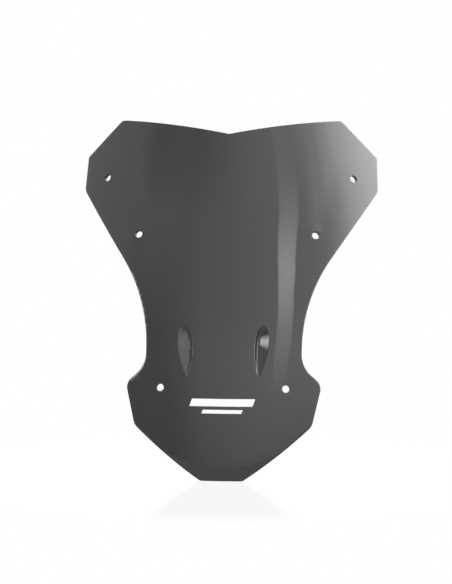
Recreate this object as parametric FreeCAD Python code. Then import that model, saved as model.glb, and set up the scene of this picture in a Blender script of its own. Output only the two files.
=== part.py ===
"""Motorcycle windscreen: one formed acrylic sheet with a film decal on its front.

Millimetres. X runs to the right as seen from the front, the front faces -Y and Z is up.
The sheet is drawn about its own centre line with the middle of its bottom edge at zero,
and is moved at the end so that the origin is the bottom centre of its bounding box.
"""
import FreeCAD, Part
import math
import os

from FreeCAD import Vector

# Sheet
sheet_thickness = 4.0

# Outline, seen square from the front: half widths, and heights above the bottom edge
top_corner_half_width = 140.8
top_corner_height = 441.5
notch_depth = 18.8
top_edge_bulge = 2.3
wing_half_width = 188.4
wing_side_taper = 1.2
wing_side_height = 43.4
wing_edge_angle = 35.0
waist_half_width = 95.6
waist_height = 158.0
waist_radius = 190.0
foot_height = 136.9
shoulder_half_width = 120.4
shoulder_height = 114.6
lobe_side_taper = 11.8
lobe_height = 64.6
chin_half_width = 25.8
chin_edge_bulge = 2.1

# Corner radii of the outline
notch_radius = 3.0
top_corner_radius = 8.0
wing_top_radius = 4.0
wing_bottom_radius = 12.0
foot_radius = 30.0
shoulder_radius = 6.0
lobe_radius = 8.0
chin_radius = 6.0

# Form of the sheet: how it leans back, and how its cross-section curves, at three heights
form_height = 416.4
lean_angle_bottom = 2.9
lean_angle_middle = 16.6
lean_angle_top = 19.5
front_radius_bottom = 273.0
front_radius_middle = 511.0
front_radius_top = 321.0
wing_sweep_start = 96.0
wing_sweep_radius = 212.0

# Teardrop scoops pressed into the front, point down, one on each side
scoop_tip_x = 43.0
scoop_tip_z = 121.0
scoop_length = 65.0
scoop_half_width = 8.6
scoop_tilt = 5.0
scoop_depth = 6.5
scoop_wall_growth = 3.0

# Mounting holes, drilled square to the sheet, and the raised seats of the middle pair
hole_diameter = 9.0
upper_hole_x = 156.8
upper_hole_z = 366.7
middle_hole_x = 110.4
middle_hole_z = 296.0
lower_hole_x = 76.7
lower_hole_z = 110.6
seat_radius = 22.0
seat_rise = 0.8

# Film decal: a wide bar over a narrow one, both with slanted ends
decal_thickness = 0.2
decal_top_z = 98.4
wide_bar_length = 80.0
wide_bar_height = 9.0
narrow_bar_length = 50.0
narrow_bar_height = 4.5
bar_gap = 4.0
bar_slant = 20.0

# Spacing of the points that the formed surface is drawn through
surface_margin = 12.0
coarse_step = 24.0
fine_step = 3.0
seat_step = 8.0
wall_step = 8.0
wall_reach = 6.0


def growth(bottom, middle, top):
    """Linear and square terms of a value with these sizes at none, half and all of the height."""
    return 4.0 * middle - 3.0 * bottom - top, 2.0 * (bottom - 2.0 * middle + top)


def centre_line(z):
    """How far the centre line is set back at a height: its slope, summed up from the bottom."""
    angles = (lean_angle_bottom, lean_angle_middle, lean_angle_top)
    slopes = [math.tan(math.radians(angle)) for angle in angles]
    rise, bend = growth(*slopes)
    share = z / form_height
    return z * (slopes[0] + rise * share / 2.0 + bend * share ** 2 / 3.0)


def curvature(z):
    """Curvature of the cross-section at a height."""
    radii = (front_radius_bottom, front_radius_middle, front_radius_top)
    curvatures = [1.0 / radius for radius in radii]
    rise, bend = growth(*curvatures)
    share = z / form_height
    return curvatures[0] + rise * share + bend * share ** 2


def scoop(x, z, spread):
    """Set-back of a scoop at a point: a ramp that deepens upwards to a round head.

    The spread widens it all round, for the bulge that the scoop makes on the back.
    """
    tilt = math.radians(scoop_tilt)
    across, up = abs(x) - scoop_tip_x, z - scoop_tip_z
    along = up * math.cos(tilt) + across * math.sin(tilt) + spread
    share = along / (scoop_length + 2.0 * spread)
    if not 0.0 < share < 1.0:
        return 0.0
    fullness = share * math.sqrt(1.0 - share) / (2.0 / 3.0 * math.sqrt(1.0 / 3.0))
    side = (across * math.cos(tilt) - up * math.sin(tilt)) / ((scoop_half_width + spread) * fullness)
    if abs(side) >= 1.0:
        return 0.0
    return scoop_depth * fullness ** 2 * (1.0 - side ** 2) ** 2


def seat(x, z):
    """Rise of the soft boss round a middle hole."""
    away = math.hypot(abs(x) - middle_hole_x, z - middle_hole_z) / seat_radius
    return seat_rise * (1.0 - away ** 2) ** 2 if away < 1.0 else 0.0


def sweep_back(x, z):
    """Set-back of the front face at a point of the outline's plane, without its scoops."""
    wing = max(abs(x) - wing_sweep_start, 0.0) ** 2 / (2.0 * wing_sweep_radius)
    return centre_line(z) + curvature(z) * x ** 2 / 2.0 + wing - seat(x, z)


def outward(x, z):
    """Unit normal of the sheet, pointing away from the rider."""
    step = 0.01
    slope_x = (sweep_back(x + step, z) - sweep_back(x - step, z)) / (2.0 * step)
    slope_z = (sweep_back(x, z + step) - sweep_back(x, z - step)) / (2.0 * step)
    return Vector(slope_x, -1.0, slope_z).normalize()


def beside(x, z, distance):
    """The point that stands off the front of the sheet by a distance, square to it."""
    return Vector(x, sweep_back(x, z), z) + outward(x, z) * distance


def formed_point(x, z, behind):
    """A point of the front face, or of a face behind it, with the scoops pressed in."""
    spread = scoop_wall_growth * behind / sheet_thickness
    return beside(x, z, -behind) + Vector(0.0, scoop(x, z, spread), 0.0)


def stations(stretches):
    """Evenly spaced values along each (start, end, step) stretch, without repeats."""
    values = []
    for start, end, step in stretches:
        count = max(1, round((end - start) / step))
        values += [start + (end - start) * place / count for place in range(count)]
    return values + [stretches[-1][1]]


def spline(points, parameters):
    """A smooth curve that passes through each point at its parameter."""
    curve = Part.BSplineCurve()
    curve.interpolate(Points=points, Parameters=parameters)
    return curve


def formed_face(behind):
    """A formed face, at the front or behind it, drawn closely round scoops and seats."""
    inner = scoop_tip_x - 2.0 * scoop_half_width
    outer = scoop_tip_x + 2.0 * scoop_half_width + scoop_length * math.sin(math.radians(scoop_tilt))
    half = stations([
        (0.0, inner, coarse_step),
        (inner, outer, fine_step),
        (outer, middle_hole_x + seat_radius, seat_step),
        (middle_hole_x + seat_radius, wing_half_width + surface_margin, coarse_step),
    ])
    rows = stations([
        (-surface_margin, scoop_tip_z, coarse_step),
        (scoop_tip_z, scoop_tip_z + scoop_length + 2.0 * fine_step, fine_step),
        (scoop_tip_z + scoop_length + 2.0 * fine_step, middle_hole_z - seat_radius, coarse_step),
        (middle_hole_z - seat_radius, middle_hole_z + seat_radius, seat_step),
        (middle_hole_z + seat_radius, top_corner_height + surface_margin, coarse_step),
    ])
    columns = [-x for x in reversed(half[1:])] + half
    along = [spline([formed_point(x, z, behind) for x in columns], columns) for z in rows]
    across = [spline(list(poles), rows) for poles in zip(*[row.getPoles() for row in along])]
    surface = Part.BSplineSurface()
    surface.buildFromPolesMultsKnots(
        [column.getPoles() for column in across],
        along[0].getMultiplicities(), across[0].getMultiplicities(),
        along[0].getKnots(), across[0].getKnots(),
        False, False, along[0].Degree, across[0].Degree)
    return surface.toShape()


def bulged(start, end, bulge):
    """An arc from start to end that stands out by the bulge to the left of its chord."""
    chord = end - start
    left = Vector(-chord.z, 0.0, chord.x).normalize()
    return Part.Arc(start, (start + end) * 0.5 + left * bulge, end).toShape()


def mirrored(point):
    return Vector(-point.x, point.y, point.z)


def outline_face():
    """The outline of the sheet as seen square from the front, with its corners rounded."""
    angle = math.radians(wing_edge_angle)
    tangent_x = waist_half_width + waist_radius * (1.0 - math.cos(angle))
    tangent_z = waist_height + waist_radius * math.sin(angle)
    wing_bottom_z = tangent_z + (wing_half_width - tangent_x) / math.tan(angle)
    waist_middle = Vector(
        waist_half_width + waist_radius * (1.0 - math.cos(angle / 2.0)), 0.0,
        waist_height + waist_radius * math.sin(angle / 2.0))

    notch = Vector(0.0, 0.0, top_corner_height - notch_depth)
    top = Vector(top_corner_half_width, 0.0, top_corner_height)
    wing_bottom = Vector(wing_half_width, 0.0, wing_bottom_z)
    wing_top = wing_bottom + Vector(-wing_side_taper, 0.0, wing_side_height)
    waist_top = Vector(tangent_x, 0.0, tangent_z)
    waist = Vector(waist_half_width, 0.0, waist_height)
    foot = Vector(waist_half_width, 0.0, foot_height)
    shoulder = Vector(shoulder_half_width, 0.0, shoulder_height)
    lobe = Vector(shoulder_half_width - lobe_side_taper, 0.0, lobe_height)
    chin = Vector(chin_half_width, 0.0, 0.0)

    edges = [
        bulged(notch, top, top_edge_bulge),
        Part.makeLine(top, wing_top),
        Part.makeLine(wing_top, wing_bottom),
        Part.makeLine(wing_bottom, waist_top),
        Part.Arc(waist_top, waist_middle, waist).toShape(),
        Part.makeLine(waist, foot),
        Part.makeLine(foot, shoulder),
        Part.makeLine(shoulder, lobe),
        bulged(lobe, chin, chin_edge_bulge),
    ]
    other_side = [edge.mirror(Vector(), Vector(1.0, 0.0, 0.0)) for edge in edges]
    base = Part.makeLine(chin, mirrored(chin))
    outline = Part.Wire(Part.__sortEdges__(edges + [base] + other_side))
    block = Part.Face(outline).extrude(Vector(0.0, sheet_thickness, 0.0))

    corners = [
        (notch, notch_radius),
        (top, top_corner_radius),
        (wing_top, wing_top_radius),
        (wing_bottom, wing_bottom_radius),
        (foot, foot_radius),
        (shoulder, shoulder_radius),
        (lobe, lobe_radius),
        (chin, chin_radius),
    ]
    for corner, radius in corners:
        block = rounded(block, corner, radius)
    return min(block.Faces, key=lambda face: face.CenterOfMass.y)


def rounded(block, corner, radius):
    """Round the two edges of the block that stand at a corner and at its mirror image."""
    places = [corner, mirrored(corner)]
    picked = []
    for edge in block.Edges:
        ends = [vertex.Point for vertex in edge.Vertexes]
        across = max(abs(ends[0].x - ends[-1].x), abs(ends[0].z - ends[-1].z))
        at_corner = any(math.hypot(ends[0].x - p.x, ends[0].z - p.z) < 0.01 for p in places)
        if across < 0.01 and at_corner:
            picked.append(edge)
    return block.makeFillet(radius, picked)


def wall(edge):
    """The cut along one edge of the outline: a ruled face that stands square to the sheet."""
    count = max(5, round(edge.Length / wall_step))
    points = edge.discretize(count)
    rails = []
    for distance in (wall_reach, -sheet_thickness - wall_reach):
        rail = Part.BSplineCurve()
        rail.interpolate([beside(point.x, point.z, distance) for point in points])
        rails.append(rail.toShape())
    return Part.makeRuledSurface(*rails)


def hole_tools():
    """One long drill for each mounting hole, square to the sheet at its place."""
    places = [
        (upper_hole_x, upper_hole_z),
        (middle_hole_x, middle_hole_z),
        (lower_hole_x, lower_hole_z),
    ]
    drills = []
    for x, z in places:
        for side in (-1.0, 1.0):
            start = beside(side * x, z, wall_reach)
            end = beside(side * x, z, -sheet_thickness - wall_reach)
            length = start.distanceToPoint(end)
            drills.append(Part.makeCylinder(hole_diameter / 2.0, length, start, end - start))
    return drills


def windshield_panel():
    """The formed sheet: a slab between two formed faces, cut to the outline and drilled."""
    deep = Vector(0.0, 2.0 * wing_half_width, 0.0)
    slab = formed_face(0.0).extrude(deep).cut(formed_face(sheet_thickness).extrude(deep))
    walls = Part.Compound([wall(edge) for edge in outline_face().OuterWire.Edges])
    walls.sewShape()
    pieces = slab.generalFuse([walls])[0].Solids
    heart = beside(0.0, waist_height, -sheet_thickness / 2.0)
    sheet = [piece for piece in pieces if piece.isInside(heart, 0.01, True)][0]
    return sheet.cut(Part.makeCompound(hole_tools()))


def decal_bar(face, length, low, high):
    """One bar of film, bonded to the front face and slanted at both ends."""
    slant = (high - low) * math.tan(math.radians(bar_slant)) / 2.0
    corners = [
        Vector(-length / 2.0, 0.0, low),
        Vector(length / 2.0 - 2.0 * slant, 0.0, low),
        Vector(length / 2.0, 0.0, high),
        Vector(2.0 * slant - length / 2.0, 0.0, high),
    ]
    deep = Vector(0.0, length, 0.0)
    stamp = Part.Face(Part.makePolygon(corners + corners[:1])).extrude(deep)
    stamp.translate(-deep / 2.0)
    film = face.common(stamp).Faces[0]
    return film.makeOffsetShape(decal_thickness, 0.001, fill=True)


def front_decal():
    face = formed_face(0.0)
    wide_low = decal_top_z - wide_bar_height
    narrow_top = wide_low - bar_gap
    return Part.makeCompound([
        decal_bar(face, wide_bar_length, wide_low, decal_top_z),
        decal_bar(face, narrow_bar_length, narrow_top - narrow_bar_height, narrow_top),
    ])


def main():
    nodes = {
        "windshield_panel": windshield_panel(),
        "front_decal": front_decal(),
    }
    box = nodes["windshield_panel"].optimalBoundingBox(False, False)
    to_origin = Vector(-box.Center.x, -box.Center.y, -box.ZMin)
    os.makedirs("parts", exist_ok=True)
    for name, shape in nodes.items():
        shape.translate(to_origin)
        shape.exportStep("parts/" + name + ".step")
        print(name, "solids", len(shape.Solids), "valid", shape.isValid(), "volume", round(shape.Volume, 1))


main()
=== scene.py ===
# %% [markdown]
# # A smoked motorcycle windscreen
#
# The object is one sheet of dark tinted acrylic, heated, pressed over a form, routed to its
# outline and drilled. A white film decal is bonded low on its front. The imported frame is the
# ruler here, and the two visible pieces are rebuilt as finer meshes: a clear gloss shows every
# facet, so the sheet needs a smooth dense grid and truly round edges.
#
# The first step loads the frame and keeps the box that every later shape has to stay in.

# %% Load the frame
import math

import bmesh
import bpy
from mathutils import Matrix, Vector


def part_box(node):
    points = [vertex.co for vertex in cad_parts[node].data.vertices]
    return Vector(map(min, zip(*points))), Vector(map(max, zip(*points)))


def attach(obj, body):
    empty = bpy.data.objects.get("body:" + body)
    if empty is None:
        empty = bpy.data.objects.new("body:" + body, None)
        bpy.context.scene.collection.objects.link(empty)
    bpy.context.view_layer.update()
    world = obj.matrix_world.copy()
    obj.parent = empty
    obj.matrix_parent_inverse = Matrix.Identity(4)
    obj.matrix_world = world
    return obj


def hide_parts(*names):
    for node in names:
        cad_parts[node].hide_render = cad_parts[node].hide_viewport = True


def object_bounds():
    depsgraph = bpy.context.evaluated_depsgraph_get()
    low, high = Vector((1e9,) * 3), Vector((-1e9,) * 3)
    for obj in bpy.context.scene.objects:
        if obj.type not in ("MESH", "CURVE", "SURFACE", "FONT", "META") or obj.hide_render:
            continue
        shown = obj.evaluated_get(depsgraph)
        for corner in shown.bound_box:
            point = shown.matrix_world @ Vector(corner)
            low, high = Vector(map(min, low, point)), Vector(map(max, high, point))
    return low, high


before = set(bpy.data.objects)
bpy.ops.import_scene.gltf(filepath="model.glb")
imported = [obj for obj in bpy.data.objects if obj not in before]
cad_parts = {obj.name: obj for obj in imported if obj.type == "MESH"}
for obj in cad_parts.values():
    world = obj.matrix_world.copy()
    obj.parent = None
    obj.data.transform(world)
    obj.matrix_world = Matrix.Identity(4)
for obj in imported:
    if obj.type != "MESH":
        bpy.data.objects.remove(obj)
frame_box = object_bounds()
panel_low, panel_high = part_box("windshield_panel")
print("panel size in metres", [round(high - low, 4) for low, high in zip(panel_low, panel_high)])

# %% [markdown]
# ## The sizes that drive the sheet
#
# A designer draws this screen as a flat outline seen from the front, and a formed surface
# that the outline is projected on. All values are millimetres or degrees, x is measured out
# from the middle and z up from the bottom edge. Nearly all are the solid's own, so the mesh
# lies on it. A few are finer, because a gloss shows them: crisper scoops, smaller bosses
# round the middle holes, rounder shoulders and lobes, and eased edges on the drilled holes.

# %% Sizes of the sheet
MM = 0.001
sheet_thickness = 4.0
edge_round = 0.9
hole_edge_round = 0.5

notch_height = 422.7
top_corner = (140.8, 441.5)
top_edge_bulge = 2.3
wing_half_width = 188.4
wing_side_taper = 1.2
wing_side_height = 43.4
wing_edge_angle = math.radians(35.0)
waist_half_width = 95.6
waist_height = 158.0
waist_radius = 190.0
foot_height = 136.9
shoulder = (120.4, 114.6)
lobe_side_taper = 11.8
lobe_height = 64.6
chin_half_width = 25.8
chin_edge_bulge = 2.1

notch_radius = 3.0
top_corner_radius = 8.0
wing_top_radius = 4.0
wing_bottom_radius = 12.0
foot_radius = 30.0
shoulder_radius = 13.5
lobe_radius = 14.0
chin_radius = 6.0

form_height = 416.4
lean_angles = (2.9, 16.6, 19.5)
front_radii = (273.0, 511.0, 321.0)
wing_sweep_start = 96.0
wing_sweep_radius = 212.0

scoop_tip = (43.0, 121.0)
scoop_length = 65.0
scoop_half_width = 8.6
scoop_tilt = math.radians(5.0)
scoop_depth = 7.0
scoop_widest = 2.0 / 3.0
scoop_wall_growth = 3.0
scoop_valley = -0.6
scoop_floor_growth = 1.4
scoop_rim_sharpness = 1.1

hole_radius = 4.5
upper_hole = (156.8, 366.7)
middle_hole = (110.4, 296.0)
lower_hole = (76.7, 110.6)
seat_radius = 16.0
seat_rise = 0.35
print("sheet of", sheet_thickness, "mm,", 2.0 * wing_half_width, "mm across the wings")

# %% [markdown]
# ## The formed surface
#
# A hot sheet takes a smooth shape with few changes of curvature, so a formula describes it
# better than a net of pushed points. The centre line leans back more and more, and each
# cross-section is a shallow curve whose radius changes with height. Past a given width the
# wings sweep back faster. The middle holes sit on a soft boss. A scoop is a teardrop ramp that
# deepens upwards: its valley runs nearer the middle of the screen than its own axis, so one
# long wall is wide and flat and the other is steep. The back of a pressed sheet repeats that
# form softer and wider.

# %% Formula of the formed surface
def growth(bottom, middle, top):
    """Linear and square terms of a value with these sizes at none, half and all of the height."""
    return 4.0 * middle - 3.0 * bottom - top, 2.0 * (bottom - 2.0 * middle + top)


def centre_line(z):
    slopes = [math.tan(math.radians(angle)) for angle in lean_angles]
    rise, bend = growth(*slopes)
    share = z / form_height
    return z * (slopes[0] + rise * share / 2.0 + bend * share ** 2 / 3.0)


def curvature(z):
    curvatures = [1.0 / radius for radius in front_radii]
    rise, bend = growth(*curvatures)
    share = z / form_height
    return curvatures[0] + rise * share + bend * share ** 2


def scoop(x, z, spread):
    """How deep the scoop is. The spread widens and softens it, as the back of the sheet needs."""
    across, up = abs(x) - scoop_tip[0], z - scoop_tip[1]
    along = up * math.cos(scoop_tilt) + across * math.sin(scoop_tilt) + spread
    share = along / (scoop_length + 2.0 * spread)
    if not 0.0 < share < 1.0:
        return 0.0
    fullness = share * math.sqrt(1.0 - share) / (scoop_widest * math.sqrt(1.0 - scoop_widest))
    side = across * math.cos(scoop_tilt) - up * math.sin(scoop_tilt)
    side /= (scoop_half_width + spread) * fullness
    if abs(side) >= 1.0:
        return 0.0
    rim = 1.0 if side > scoop_valley else -1.0
    wall = (side - scoop_valley) / (rim - scoop_valley)
    softness = spread / scoop_wall_growth
    crisp = fullness ** scoop_floor_growth * (1.0 - wall ** scoop_rim_sharpness)
    soft = fullness ** 2 * (1.0 - side ** 2) ** 2
    return scoop_depth * ((1.0 - softness) * crisp + softness * soft)


def seat(x, z):
    away = math.hypot(abs(x) - middle_hole[0], z - middle_hole[1]) / seat_radius
    return seat_rise * (1.0 - away ** 2) ** 2 if away < 1.0 else 0.0


def sweep_back(x, z):
    wing = max(abs(x) - wing_sweep_start, 0.0) ** 2 / (2.0 * wing_sweep_radius)
    return centre_line(z) + curvature(z) * x ** 2 / 2.0 + wing - seat(x, z)


def outward(x, z):
    """Unit normal of the sheet, pointing forward."""
    step = 0.01
    slope_x = (sweep_back(x + step, z) - sweep_back(x - step, z)) / (2.0 * step)
    slope_z = (sweep_back(x, z + step) - sweep_back(x, z - step)) / (2.0 * step)
    return Vector((slope_x, -1.0, slope_z)).normalized()


def formed(x, z, behind):
    """The point behind the front face, square to the sheet, with the scoops pressed in."""
    spread = scoop_wall_growth * max(behind, 0.0) / sheet_thickness
    return Vector((x, sweep_back(x, z) + scoop(x, z, spread), z)) - outward(x, z) * behind


to_frame = Vector((0.0, panel_low[1] / MM, -formed(0.0, 0.0, sheet_thickness).z))
print("the middle of the top is set back", round(sweep_back(0.0, notch_height), 1), "mm")

# %% [markdown]
# ## Drawing the outline
#
# The outline starts as a wire of one half: a vertex is extruded along each straight edge and
# spun about a centre for each arc, the way a compass would draw it. Mirroring closes the wire
# and one face fills it. Beveling single vertices with the profile of a circle then gives each
# corner its own radius, which is quicker and truer than placing rounded corners by hand.

# %% Helpers for the wire
def flat(x, z):
    return Vector((x, 0.0, z))


def line_to(bm, vert, point):
    end = bmesh.ops.extrude_vert_indiv(bm, verts=[vert])["verts"][0]
    end.co = point
    return end


def arc_to(bm, vert, centre, end, step_length):
    start_arm, end_arm = vert.co - centre, end - centre
    turn = start_arm.angle(end_arm)
    axis = start_arm.cross(end_arm)
    steps = max(2, round(turn * start_arm.length / step_length))
    spun = bmesh.ops.spin(bm, geom=[vert], cent=centre, axis=axis, angle=turn, steps=steps)
    return [item for item in spun["geom_last"] if isinstance(item, bmesh.types.BMVert)][0]


def bulge_centre(start, end, bulge):
    """Centre of the arc that stands out by the bulge to the left of the chord."""
    chord = end - start
    radius = (chord.length ** 2 / 4.0 + bulge ** 2) / (2.0 * bulge)
    left = flat(-chord.z, chord.x).normalized()
    return (start + end) / 2.0 + left * (bulge - radius)


print("wire helpers: line_to, arc_to, bulge_centre")

# %% [markdown]
# ## The outline of this screen
#
# From the notch at the top the wire runs out along a slightly bulged edge, down the short
# straight side of the wing, in along a slant to the waist, out over the shoulder and down a
# bulged edge to the chin. Only the chin stands on the table.

# %% Draw and round the outline
def outline_face(bm):
    tangent_x = waist_half_width + waist_radius * (1.0 - math.cos(wing_edge_angle))
    tangent_z = waist_height + waist_radius * math.sin(wing_edge_angle)
    wing_bottom_z = tangent_z + (wing_half_width - tangent_x) / math.tan(wing_edge_angle)
    notch, top = flat(0.0, notch_height), flat(*top_corner)
    wing_bottom = flat(wing_half_width, wing_bottom_z)
    wing_top = wing_bottom + flat(-wing_side_taper, wing_side_height)
    waist = flat(waist_half_width, waist_height)
    foot = flat(waist_half_width, foot_height)
    lobe = flat(shoulder[0] - lobe_side_taper, lobe_height)
    chin = flat(chin_half_width, 0.0)
    arc_step = 9.0

    vert = bm.verts.new(notch)
    vert = arc_to(bm, vert, bulge_centre(notch, top, top_edge_bulge), top, arc_step)
    for point in (wing_top, wing_bottom, flat(tangent_x, tangent_z)):
        vert = line_to(bm, vert, point)
    vert = arc_to(bm, vert, flat(waist_half_width + waist_radius, waist_height), waist, arc_step)
    for point in (foot, flat(*shoulder), lobe):
        vert = line_to(bm, vert, point)
    vert = arc_to(bm, vert, bulge_centre(lobe, chin, chin_edge_bulge), chin, arc_step)
    line_to(bm, vert, flat(0.0, 0.0))
    bmesh.ops.mirror(bm, geom=bm.verts[:] + bm.edges[:], axis="X", merge_dist=0.01)
    bmesh.ops.contextual_create(bm, geom=bm.edges[:])

    corners = [
        (notch, notch_radius), (top, top_corner_radius), (wing_top, wing_top_radius),
        (wing_bottom, wing_bottom_radius), (foot, foot_radius),
        (flat(*shoulder), shoulder_radius), (lobe, lobe_radius), (chin, chin_radius),
    ]
    for corner, radius in corners:
        round_corner(bm, corner, radius)
    return bm.faces[:][0]


def round_corner(bm, corner, radius):
    """Round the corner and its mirror image to a radius, as a vertex bevel."""
    twins = [vert for vert in bm.verts if (flat(abs(vert.co.x), vert.co.z) - corner).length < 0.05]
    arms = [edge.other_vert(twins[0]).co - twins[0].co for edge in twins[0].link_edges]
    tangent_length = radius / math.tan(arms[0].angle(arms[1]) / 2.0)
    bmesh.ops.bevel(
        bm, geom=twins, offset=tangent_length, offset_type="OFFSET", affect="VERTICES",
        segments=8, profile=0.5, material=-1, clamp_overlap=False)


print("outline from the chin at 0 to the top corners at", top_corner[1], "mm")

# %% [markdown]
# ## Rounding the rim and laying the grid
#
# The routed edge of such a screen is broken to a fine round, and it is what catches the light
# along the outline. Three insets follow the outline inwards, and each ring remembers how far
# it drops below the face. Then straight cuts lay a fine even grid over the flat blank, so that
# the forming step has something to bend. Cutting a drawn face keeps the outline exact, which a
# grid squeezed into the outline would not.

# %% Rim rings and grid
cell = 2.2
rim_rings = 3


def rounding(radius, rings):
    """(inset, drop) of each ring of a quarter round, from the wall to the face."""
    angles = [math.radians(90.0) * ring / rings for ring in range(rings + 1)]
    return [(radius * (1.0 - math.cos(a)), radius * (1.0 - math.sin(a))) for a in angles]


def inset_rim(bm, face, radius, drop):
    steps = rounding(radius, rim_rings)
    for vert in face.verts:
        vert[drop] = steps[0][1]
    for (inner, _), (outer, depth) in zip(steps, steps[1:]):
        bmesh.ops.inset_individual(bm, faces=[face], thickness=outer - inner, use_even_offset=True)
        for vert in face.verts:
            vert[drop] = depth


def lay_grid(bm, axis):
    lows = [min(vert.co[index] for vert in bm.verts) for index in range(3)]
    highs = [max(vert.co[index] for vert in bm.verts) for index in range(3)]
    index = "XYZ".index(axis)
    across = Vector([1.0 if place == index else 0.0 for place in range(3)])
    for line in range(math.ceil(lows[index] / cell), math.floor(highs[index] / cell) + 1):
        everything = bm.verts[:] + bm.edges[:] + bm.faces[:]
        bmesh.ops.bisect_plane(
            bm, geom=everything, dist=0.02, plane_co=across * line * cell, plane_no=across)


print("rim of", rim_rings, "rings, grid of", cell, "mm")

# %% [markdown]
# ## Drilling the holes
#
# Each of the six screw holes is square to the sheet, so in the flat drawing it is a slightly
# squeezed circle. A block of grid cells is removed round it, and the open edge is extruded
# inwards ring by ring, each ring pulled on to its circle. That keeps the faces even, where a
# boolean cut would leave slivers that show as smears in the gloss.

# %% Drill one hole
half_block = 4
land_width = 2.2


def open_block(bm, inside):
    """Remove the faces in a block of the grid and return the edges round the gap."""
    block = [face for face in bm.faces if inside(face.calc_center_median())]
    bmesh.ops.delete(bm, geom=block, context="FACES")
    return [
        edge for edge in bm.edges
        if edge.is_boundary and all(inside(vert.co) for vert in edge.verts)]


def next_ring(bm, rim):
    """Extrude the open rim once and return the new vertices and the new rim."""
    extruded = bmesh.ops.extrude_edge_only(bm, edges=rim)["geom"]
    ring = [item for item in extruded if isinstance(item, bmesh.types.BMVert)]
    edges = [item for item in extruded if isinstance(item, bmesh.types.BMEdge)]
    return ring, [edge for edge in edges if edge.is_boundary]


def drill(bm, x, z, drop):
    reach = (half_block + 0.02) * cell
    column, row = round(x / cell) * cell, round(z / cell) * cell

    def inside(point):
        return abs(point.x - column) < reach and abs(point.z - row) < reach

    rim = open_block(bm, inside)

    normal = outward(x, z)
    level = normal.cross(Vector((0.0, 0.0, 1.0))).normalized()
    steep = normal.cross(level)
    squeeze = Matrix(((level.x, steep.x), (level.z, steep.z)))
    rings = [(land_width, 0.0)] + rounding(hole_edge_round, rim_rings)[::-1]
    for inset, depth in rings:
        ring, rim = next_ring(bm, rim)
        for vert in ring:
            arm = squeeze.inverted() @ Vector((vert.co.x - x, vert.co.z - z))
            across, up = squeeze @ arm.normalized() * (hole_radius + inset)
            vert.co = flat(x + across, z + up)
            vert[drop] = depth


print("drill of", 2.0 * hole_radius, "mm")

# %% [markdown]
# ## Rings for the scoops
#
# The rim of a scoop is a crease, and a crease that runs across square cells turns to a
# staircase. So a block of cells is opened round each scoop and extruded inwards in rings of
# teardrop shape: one just outside the rim, one on it, one just inside, and the rest towards
# the middle, where the last ring is merged to a point. The depth comes later, with forming.

# %% Lay teardrop rings
scoop_block = (6, 17)
block_shift = 2.8
ring_centre = 0.6
rim_rings_offset = 0.8
ring_scales = (0.8, 0.62, 0.45, 0.29, 0.14, 0.0)


def teardrop_reach(middle, direction):
    """How far it is from the middle of a scoop to its rim in one direction, by halving."""
    near, far = 0.0, scoop_length
    while far - near > 0.001:
        probe = (near + far) / 2.0
        point = middle + direction * probe
        near, far = (probe, far) if scoop(point.x, point.z, 0.0) > 0.0 else (near, probe)
    return near


def open_scoop(bm, side):
    column = round((scoop_tip[0] + block_shift) / cell) * cell * side
    row = round((scoop_tip[1] + scoop_length / 2.0) / cell) * cell
    half_width, half_height = [(cells + 0.1) * cell for cells in scoop_block]
    rim = open_block(
        bm, lambda point: abs(point.x - column) < half_width and abs(point.z - row) < half_height)
    along = ring_centre * scoop_length
    middle = flat(
        side * (scoop_tip[0] + along * math.sin(scoop_tilt)),
        scoop_tip[1] + along * math.cos(scoop_tilt))
    rings = [(1.0, offset) for offset in (rim_rings_offset, 0.0, -rim_rings_offset)]
    rings += [(scale, 0.0) for scale in ring_scales]
    for scale, offset in rings:
        ring, rim = next_ring(bm, rim)
        for vert in ring:
            direction = (vert.co - middle).normalized()
            vert.co = middle + direction * (teardrop_reach(middle, direction) * scale + offset)
    bmesh.ops.remove_doubles(bm, verts=ring, dist=0.001)


print("scoops", scoop_length, "mm long and", 2.0 * scoop_half_width, "mm wide")

# %% [markdown]
# ## Forming the blank
#
# The flat blank is extruded once for the back face, and then every vertex is moved to its
# place on the formed surface: front vertices by their drop, back vertices by the thickness
# less their drop. The wall therefore stays square to the sheet all round, as a routed edge
# is. Recalculated normals agree with each other, but on a thin dished shell they may all point
# inwards, which makes clear plastic a mirror. The sign of the volume tells, and one call turns
# them. The mesh is made in millimetres and scaled to metres at the end.

# %% Form a blank into a piece
def form_blank(bm, drop, front_at, back_at):
    extruded = bmesh.ops.extrude_face_region(bm, geom=bm.faces[:])["geom"]
    backs = {item for item in extruded if isinstance(item, bmesh.types.BMVert)}
    for vert in bm.verts:
        behind = back_at - vert[drop] if vert in backs else front_at + vert[drop]
        vert.co = formed(vert.co.x, vert.co.z, behind) + to_frame
    bmesh.ops.recalc_face_normals(bm, faces=bm.faces[:])
    if bm.calc_volume(signed=True) < 0.0:
        bmesh.ops.reverse_faces(bm, faces=bm.faces[:])
    bmesh.ops.scale(bm, vec=(MM, MM, MM), verts=bm.verts[:])


def finish_piece(bm, name, replaced):
    """Turn a bmesh into a smooth piece that rides on the root body."""
    mesh = bpy.data.meshes.new(name)
    bm.to_mesh(mesh)
    bm.free()
    mesh.polygons.foreach_set("use_smooth", [True] * len(mesh.polygons))
    piece = bpy.data.objects.new(name, mesh)
    bpy.context.scene.collection.objects.link(piece)
    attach(piece, "root")
    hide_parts(replaced)
    print(name, "has", len(mesh.vertices), "vertices and", len(mesh.polygons), "faces")
    return piece


print("forming keeps a wall of", sheet_thickness, "mm square to the sheet")

# %% [markdown]
# ## The sheet
#
# A workshop forms the hot sheet first, and routs and drills it afterwards. A script has it
# easier the other way round, as holes are simple to cut in a flat blank: outline and edge,
# grid, holes, scoop rings, then form. The rim rings come before the grid, because the cuts
# then split them too and the edge stays as finely divided as the face.

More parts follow.
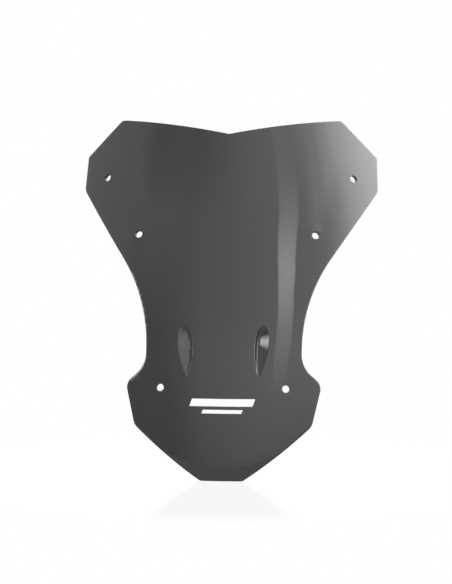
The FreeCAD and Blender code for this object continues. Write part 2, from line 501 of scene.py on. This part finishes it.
# %% Make the sheet
bm = bmesh.new()
drop = bm.verts.layers.float.new("drop")
inset_rim(bm, outline_face(bm), edge_round, drop)
lay_grid(bm, "Z")
lay_grid(bm, "X")
for hole_x, hole_z in (upper_hole, middle_hole, lower_hole):
    for side in (-1.0, 1.0):
        drill(bm, side * hole_x, hole_z, drop)
for side in (-1.0, 1.0):
    open_scoop(bm, side)
form_blank(bm, drop, 0.0, sheet_thickness)
sheet = finish_piece(bm, "smoked_sheet", "windshield_panel")

# %% [markdown]
# ## The film decal
#
# A decal like this is cut from cast white film on a plotter and pressed on by hand. It is two
# plain bars with slanted ends. Each bar is a flat blank like the sheet's, with tiny rounded
# corners where the plotter's knife turned, cut on the same grid and formed on the same
# surface, so it lies on the sheet without crossing it. A hair's gap stands for its adhesive.

# %% Make the decal
film_thickness = 0.2
adhesive_gap = 0.02
decal_top_z = 98.4
bar_slant = math.radians(20.0)
bar_gap = 4.0
bar_sizes = [(80.0, 9.0), (50.0, 4.5)]
knife_radius = 0.6

bm = bmesh.new()
drop = bm.verts.layers.float.new("drop")
bar_top = decal_top_z
for length, height in bar_sizes:
    slant = height * math.tan(bar_slant)
    bar_low = bar_top - height
    corners = [
        flat(-length / 2.0, bar_low), flat(length / 2.0 - slant, bar_low),
        flat(length / 2.0, bar_top), flat(slant - length / 2.0, bar_top)]
    face = bm.faces.new([bm.verts.new(corner) for corner in corners])
    bmesh.ops.bevel(
        bm, geom=face.verts[:], offset=knife_radius, affect="VERTICES", segments=4,
        profile=0.5, material=-1)
    bar_top = bar_low - bar_gap
lay_grid(bm, "Z")
lay_grid(bm, "X")
form_blank(bm, drop, -adhesive_gap - film_thickness, -adhesive_gap)
decal = finish_piece(bm, "film_decal", "front_decal")

# %% [markdown]
# ## Helpers for materials
#
# Colours are written the way a paint chart gives them, as sRGB hex, and turned to the linear
# values that light is added in. One helper adds a node with its settings and links, so each
# material below reads as a list of what it is made of.

# %% Colour and node helpers
def colour(hex_code):
    """Linear colour of an sRGB hex code."""
    parts = [int(hex_code[place:place + 2], 16) / 255.0 for place in (1, 3, 5)]
    return [p / 12.92 if p <= 0.04045 else ((p + 0.055) / 1.055) ** 2.4 for p in parts] + [1.0]


def add(tree, kind, settings=None, links=None):
    """Add a node. Settings are its properties or inputs, links are input to output socket."""
    made = tree.nodes.new(kind)
    for name, value in (settings or {}).items():
        if isinstance(name, str) and hasattr(made, name):
            setattr(made, name, value)
        else:
            made.inputs[name].default_value = value
    for name, socket in (links or {}).items():
        tree.links.new(socket, made.inputs[name])
    return made


def new_material(name):
    material = bpy.data.materials.new(name)
    material.use_nodes = True
    material.node_tree.nodes.clear()
    return material


print("chart white is", [round(value, 3) for value in colour("#F2F2F2")[:3]])

# %% [markdown]
# ## Smoke tinted cast acrylic
#
# Cast acrylic, polymethyl methacrylate, is clearer than window glass and bends light with an
# index of 1.49. The smoke grade is dyed through its mass and lets about a twentieth of the
# light pass. Its pressed face keeps the polish of the cast sheet, so reflections are sharp,
# but the hot forming leaves a very slight waviness, and cleaning leaves faint hairlines that
# only change the gloss.

# %% Smoked acrylic
smoked = new_material("smoke_tinted_cast_acrylic")
tree = smoked.node_tree
coordinates = add(tree, "ShaderNodeTexCoord")
hairlines = add(
    tree, "ShaderNodeTexNoise",
    {"Scale": 260.0, "Detail": 3.0, "Roughness": 0.6},
    {"Vector": coordinates.outputs["Object"]})
gloss = add(
    tree, "ShaderNodeMapRange",
    {"From Min": 0.35, "From Max": 0.75, "To Min": 0.0, "To Max": 0.02},
    {"Value": hairlines.outputs["Fac"]})
forming_waves = add(
    tree, "ShaderNodeTexNoise",
    {"Scale": 28.0, "Detail": 1.0},
    {"Vector": coordinates.outputs["Object"]})
waviness = add(
    tree, "ShaderNodeBump",
    {"Strength": 0.08, "Distance": 0.0001},
    {"Height": forming_waves.outputs["Fac"]})
acrylic = add(
    tree, "ShaderNodeBsdfPrincipled",
    {"Base Color": colour("#3B3B3C"), "Transmission Weight": 1.0, "IOR": 1.49},
    {"Roughness": gloss.outputs["Result"], "Normal": waviness.outputs["Normal"]})
add(tree, "ShaderNodeOutputMaterial", links={"Surface": acrylic.outputs["BSDF"]})
sheet.data.materials.append(smoked)
print("material", smoked.name, "on", sheet.name)

# %% [markdown]
# ## White cast film
#
# Plotter film is soft cast vinyl with a satin skin. A very fine orange peel, far below a
# millimetre, breaks up its sheen, and its white is a touch warm.

# %% White film
film = new_material("white_cast_vinyl_film")
tree = film.node_tree
coordinates = add(tree, "ShaderNodeTexCoord")
orange_peel = add(
    tree, "ShaderNodeTexNoise",
    {"Scale": 1400.0, "Detail": 2.0},
    {"Vector": coordinates.outputs["Object"]})
skin = add(
    tree, "ShaderNodeBump",
    {"Strength": 0.15, "Distance": 0.00005},
    {"Height": orange_peel.outputs["Fac"]})
tone = add(
    tree, "ShaderNodeMixRGB",
    {"Color1": colour("#F4F4F2"), "Color2": colour("#FAFAF9")},
    {"Fac": orange_peel.outputs["Fac"]})
vinyl = add(
    tree, "ShaderNodeBsdfPrincipled",
    {"Roughness": 0.38, "IOR": 1.5},
    {"Base Color": tone.outputs["Color"], "Normal": skin.outputs["Normal"]})
add(tree, "ShaderNodeOutputMaterial", links={"Surface": vinyl.outputs["BSDF"]})
decal.data.materials.append(film)
print("material", film.name, "on", decal.name)

# %% [markdown]
# ## Drawing light by direction
#
# The screen stands on a white sweep, and what shows in its gloss is the room in front of it.
# A room is easiest to tune as brightness over two angles: the turn, from straight ahead of
# the screen towards its right, and the rise above the level. A curve over each, multiplied,
# makes a soft panel of light or a dark flag anywhere, without lamps that get in the way.

# %% Light over an angle
def profile(tree, value, low, high, stops):
    """A curve of brightness over a value, as a colour ramp scaled by its highest stop."""
    share = add(
        tree, "ShaderNodeMapRange", {"From Min": low, "From Max": high}, {"Value": value})
    ramp = add(tree, "ShaderNodeValToRGB", links={"Fac": share.outputs["Result"]})
    peak = max(level for _, level in stops)
    for place, level in stops[1:-1]:
        stop = ramp.color_ramp.elements.new((place - low) / (high - low))
        stop.color = [level / peak] * 3 + [1.0]
    ramp.color_ramp.elements[0].color = [stops[0][1] / peak] * 3 + [1.0]
    ramp.color_ramp.elements[-1].color = [stops[-1][1] / peak] * 3 + [1.0]
    scaled = add(
        tree, "ShaderNodeMath", {"operation": "MULTIPLY", 1: peak}, {0: ramp.outputs["Color"]})
    return scaled.outputs["Value"]


def around(tree, angle, limit, stops):
    """A curve over an angle that keeps its end levels out to the limit on both sides."""
    first, last = (-limit, stops[0][1]), (limit, stops[-1][1])
    return profile(tree, angle, -limit, limit, [first] + stops + [last])


def combine(tree, operation, *values):
    """A maths node on the outputs of other nodes."""
    made = add(tree, "ShaderNodeMath", {"operation": operation}, dict(enumerate(values)))
    return made.outputs["Value"]


def less(tree, value, flag):
    """The value with a share of it held back."""
    kept = add(tree, "ShaderNodeMath", {"operation": "SUBTRACT", 0: 1.0}, {1: flag})
    return combine(tree, "MULTIPLY", value, kept.outputs["Value"])


def panel(tree, over_turn, over_rise):
    """A patch of light or shade, from its curve over the turn and its curve over the rise."""
    return combine(
        tree, "MULTIPLY", around(tree, turn, 180, over_turn), around(tree, rise, 90, over_rise))


world = bpy.data.worlds.new("white_studio")
bpy.context.scene.world = world
world.use_nodes = True
tree = world.node_tree
tree.nodes.clear()
coordinates = add(tree, "ShaderNodeTexCoord")
ray = add(tree, "ShaderNodeSeparateXYZ", links={"Vector": coordinates.outputs["Generated"]})
forward = add(
    tree, "ShaderNodeMath", {"operation": "MULTIPLY", 1: -1.0}, {0: ray.outputs["Y"]})
turn = combine(tree, "ARCTAN2", ray.outputs["X"], forward.outputs["Value"])
turn = combine(tree, "DEGREES", turn)
rise = combine(tree, "DEGREES", combine(tree, "ARCSINE", ray.outputs["Z"]))
print("the sky reads a turn and a rise from each ray")

# %% [markdown]
# ## The room in the gloss
#
# The room is dim ahead and to the left, and grows bright towards a large window far to the
# right, which fades down the right wing. Flags hold light back from the left wing, and a glow
# lifts the top of the right one. A small window low on the left only shows in the right scoop.

# %% Walls, flags and windows
room_level = panel(tree, [
    (-150, 1.7), (-110, 0.8), (-45, 0.82), (-20, 0.72), (-4, 1.02), (3, 1.2), (10, 1.4),
    (24, 1.65), (35, 1.8), (48, 2.2), (61, 3.6), (72, 5.8), (85, 7.2), (100, 8.0), (125, 3.0),
    (150, 1.7),
], [(-3, 0.3), (0, 0.52), (2, 0.66), (5, 0.74), (10, 0.88), (18, 1.05), (23, 1.1), (28, 1.0)])
side_glow = panel(tree, [(26, 0.0), (40, 0.45), (58, 0.3), (75, 0.0)], [(36, 0.0), (39, 1.0)])
low_flag = panel(
    tree, [(-60, 0.0), (-45, 0.68), (-25, 0.66), (-12, 0.0)], [(24, 1.0), (38, 0.0)])
high_flag = panel(
    tree, [(-70, 0.0), (-45, 0.6), (-20, 0.4), (0, 0.0)], [(38, 0.0), (41.5, 1.0)])
left_window = panel(
    tree, [(-60, 0.0), (-52, 1.0), (-45, 1.0), (-37, 0.0)],
    [(11, 0.0), (16, 5.0), (20, 9.0), (23.5, 7.0), (26.5, 0.0)])
room_level = less(tree, less(tree, room_level, low_flag), high_flag)
side_light = combine(tree, "MULTIPLY", room_level, side_glow)
room_level = combine(tree, "ADD", combine(tree, "ADD", room_level, side_light), left_window)
print("room with 2 flags and 2 extra lights")

# %% [markdown]
# ## The strip light
#
# A tall strip a little right of the camera draws the long highlight. On the curved screen that
# line leans and changes its width, so the middle and half width of the strip are curves over
# the rise. Its edges are soft, as those of a strip behind cloth are.

# %% Strip light
strip_middle = around(tree, rise, 90, [
    (31, 15.9), (35, 16.7), (37, 17.7), (38, 18.6), (39, 19.8), (40, 20.9), (41, 22.0),
    (42, 23.5), (45, 27.5)])
strip_half = around(tree, rise, 90, [(30, 2.5), (37, 3.3), (40, 3.8), (42, 4.1)])
strip_place = combine(tree, "ABSOLUTE", combine(tree, "SUBTRACT", turn, strip_middle))
strip_place = combine(tree, "DIVIDE", strip_place, strip_half)
strip_across = profile(
    tree, strip_place, 0.0, 2.0, [(0, 1.0), (0.5, 1.0), (0.93, 0.85), (1.07, 0.0), (2, 0.0)])
strip_along = around(tree, rise, 90, [
    (13, 0.0), (18, 0.5), (22, 1.0), (26, 1.7), (30, 3.0), (34, 3.7), (37, 2.7), (39, 1.6),
    (41, 0.7), (43, 0.0)])
strip_light = combine(tree, "MULTIPLY", strip_across, strip_along)
gloss_level = combine(tree, "ADD", room_level, strip_light)
print("strip light from 13 to 43 degrees above the level")

# %% [markdown]
# ## Who sees what
#
# Only mirror-like rays see that room. Soft light comes from an even white sky, and the camera
# and the rays that pass through the sheet see the white backdrop, which is what makes the
# smoke tint read as dark.

# %% Mix the sky by ray
light_path = add(tree, "ShaderNodeLightPath")
soft_fill = add(tree, "ShaderNodeBackground", {"Color": (1.0, 1.0, 1.0, 1.0), "Strength": 1.0})
gloss_room = add(
    tree, "ShaderNodeBackground", {"Color": (1.0, 1.0, 1.0, 1.0)}, {"Strength": gloss_level})
backdrop = add(tree, "ShaderNodeBackground", {"Color": (1.0, 1.0, 1.0, 1.0)})
seen = soft_fill
sights = (("Glossy", gloss_room), ("Transmission", backdrop), ("Camera", backdrop))
for kind_of_ray, sight in sights:
    seen = add(tree, "ShaderNodeMixShader", links={
        0: light_path.outputs["Is " + kind_of_ray + " Ray"],
        1: seen.outputs[0], 2: sight.outputs[0]})
add(tree, "ShaderNodeOutputWorld", links={"Surface": seen.outputs[0]})
print("sky", world.name, "with", len(tree.nodes), "nodes")

# %% [markdown]
# ## The white sweep
#
# The screen stands on white laminate with a little polish, which gives the faint mirror image
# under the chin. The polish wears out some 0.3 m from the screen, so the image fades there.
# Seen by the camera the laminate is as white as the backdrop, so no line shows where the two
# meet. In the gloss of the screen it is dimmer.

# %% Floor
floor_size = 6.0
floor_gap = 0.0001
polish_level = 0.08
polish_fades = (0.29, 0.36)
bm = bmesh.new()
bmesh.ops.create_grid(bm, x_segments=1, y_segments=1, size=floor_size / 2.0)
floor_mesh = bpy.data.meshes.new("studio_floor")
bm.to_mesh(floor_mesh)
bm.free()
floor = bpy.data.objects.new("studio_floor", floor_mesh)
floor.location.z = frame_box[0][2] - floor_gap
bpy.context.scene.collection.objects.link(floor)

white_sweep = new_material("white_laminate_sweep")
tree = white_sweep.node_tree
light_path = add(tree, "ShaderNodeLightPath")
board = add(
    tree, "ShaderNodeBsdfPrincipled",
    {"Base Color": colour("#F2F2F2"), "Roughness": 0.5})
clean_white = add(tree, "ShaderNodeEmission", {"Strength": 1.0})
polish = add(tree, "ShaderNodeBsdfGlossy", {"Roughness": 0.12})
coordinates = add(tree, "ShaderNodeTexCoord")
away = add(
    tree, "ShaderNodeVectorMath", {"operation": "LENGTH"}, {0: coordinates.outputs["Object"]})
polish_share = add(
    tree, "ShaderNodeMapRange",
    {"From Min": polish_fades[0], "From Max": polish_fades[1],
     "To Min": polish_level, "To Max": 0.0},
    {"Value": away.outputs["Value"]})
sheen = add(
    tree, "ShaderNodeMixShader",
    links={0: polish_share.outputs["Result"], 1: clean_white.outputs[0], 2: polish.outputs[0]})
visible = add(
    tree, "ShaderNodeMath", {"operation": "MAXIMUM"},
    {0: light_path.outputs["Is Camera Ray"], 1: light_path.outputs["Is Transmission Ray"]})
in_gloss = add(tree, "ShaderNodeEmission", {"Strength": 0.42})
bounced = add(
    tree, "ShaderNodeMixShader",
    links={0: light_path.outputs["Is Glossy Ray"], 1: board.outputs[0], 2: in_gloss.outputs[0]})
surface = add(
    tree, "ShaderNodeMixShader",
    links={0: visible.outputs["Value"], 1: bounced.outputs[0], 2: sheen.outputs[0]})
add(tree, "ShaderNodeOutputMaterial", links={"Surface": surface.outputs[0]})
floor_mesh.materials.append(white_sweep)
print("floor of", floor_size, "m just under the chin")

# %% [markdown]
# ## The overhead lamp
#
# A wide soft lamp overhead gives the decal its plain even light. It is kept out of the gloss,
# where it would draw a square on the screen.

# %% Overhead lamp
screen_middle = Vector((0.0, 0.0, 0.22))


def softbox(name, turn_degrees, rise_degrees, away, width, height, power):
    """An area lamp that faces the middle of the screen from a given direction."""
    turn, rise = math.radians(turn_degrees), math.radians(rise_degrees)
    direction = Vector((
        math.sin(turn) * math.cos(rise), -math.cos(turn) * math.cos(rise), math.sin(rise)))
    lamp = bpy.data.lights.new(name, "AREA")
    lamp.shape = "RECTANGLE"
    lamp.size, lamp.size_y, lamp.energy = width, height, power
    box = bpy.data.objects.new(name, lamp)
    box.location = screen_middle + direction * away
    box.rotation_euler = direction.to_track_quat("Z", "Y").to_euler()
    bpy.context.scene.collection.objects.link(box)
    return box


overhead = softbox(
    "overhead_softbox", turn_degrees=0.0, rise_degrees=70.0, away=2.5,
    width=2.0, height=2.0, power=12.0)
overhead.visible_glossy = False
print("lamp", overhead.name)

# %% [markdown]
# ## Camera
#
# The view is almost square from the front: a little to the right, a little above the middle
# and a touch tilted. The lens is set from how much height it has to take in at its distance.

# %% Camera
camera_turn = math.radians(3.789)
camera_rise = math.radians(3.0)
camera_roll = math.radians(0.358)
camera_distance = 2.04
frame_height = 0.7008
aim_height = 0.204
aim = Vector((0.0, to_frame.y * MM, aim_height + to_frame.z * MM))
off_axis = (-0.004757, -0.024755)

backward = Vector((
    math.sin(camera_turn) * math.cos(camera_rise),
    -math.cos(camera_turn) * math.cos(camera_rise),
    math.sin(camera_rise)))
right = Vector((math.cos(camera_turn), math.sin(camera_turn), 0.0))
up = backward.cross(right)
roll = Matrix.Rotation(camera_roll, 3, backward)
right, up = roll @ right, roll @ up
lens = bpy.data.cameras.new("camera")
lens.sensor_fit = "VERTICAL"
lens.sensor_height = 24.0
lens.lens = lens.sensor_height * camera_distance / frame_height
camera = bpy.data.objects.new("camera", lens)
axes = Matrix((right, up, backward)).transposed()
place = aim + backward * camera_distance - right * off_axis[0] - up * off_axis[1]
camera.matrix_world = Matrix.Translation(place) @ axes.to_4x4()
bpy.context.scene.collection.objects.link(camera)
bpy.context.scene.camera = camera
bpy.context.scene.view_settings.view_transform = "Standard"
print("camera", camera_distance, "m away with a lens of", round(lens.lens, 1), "mm")
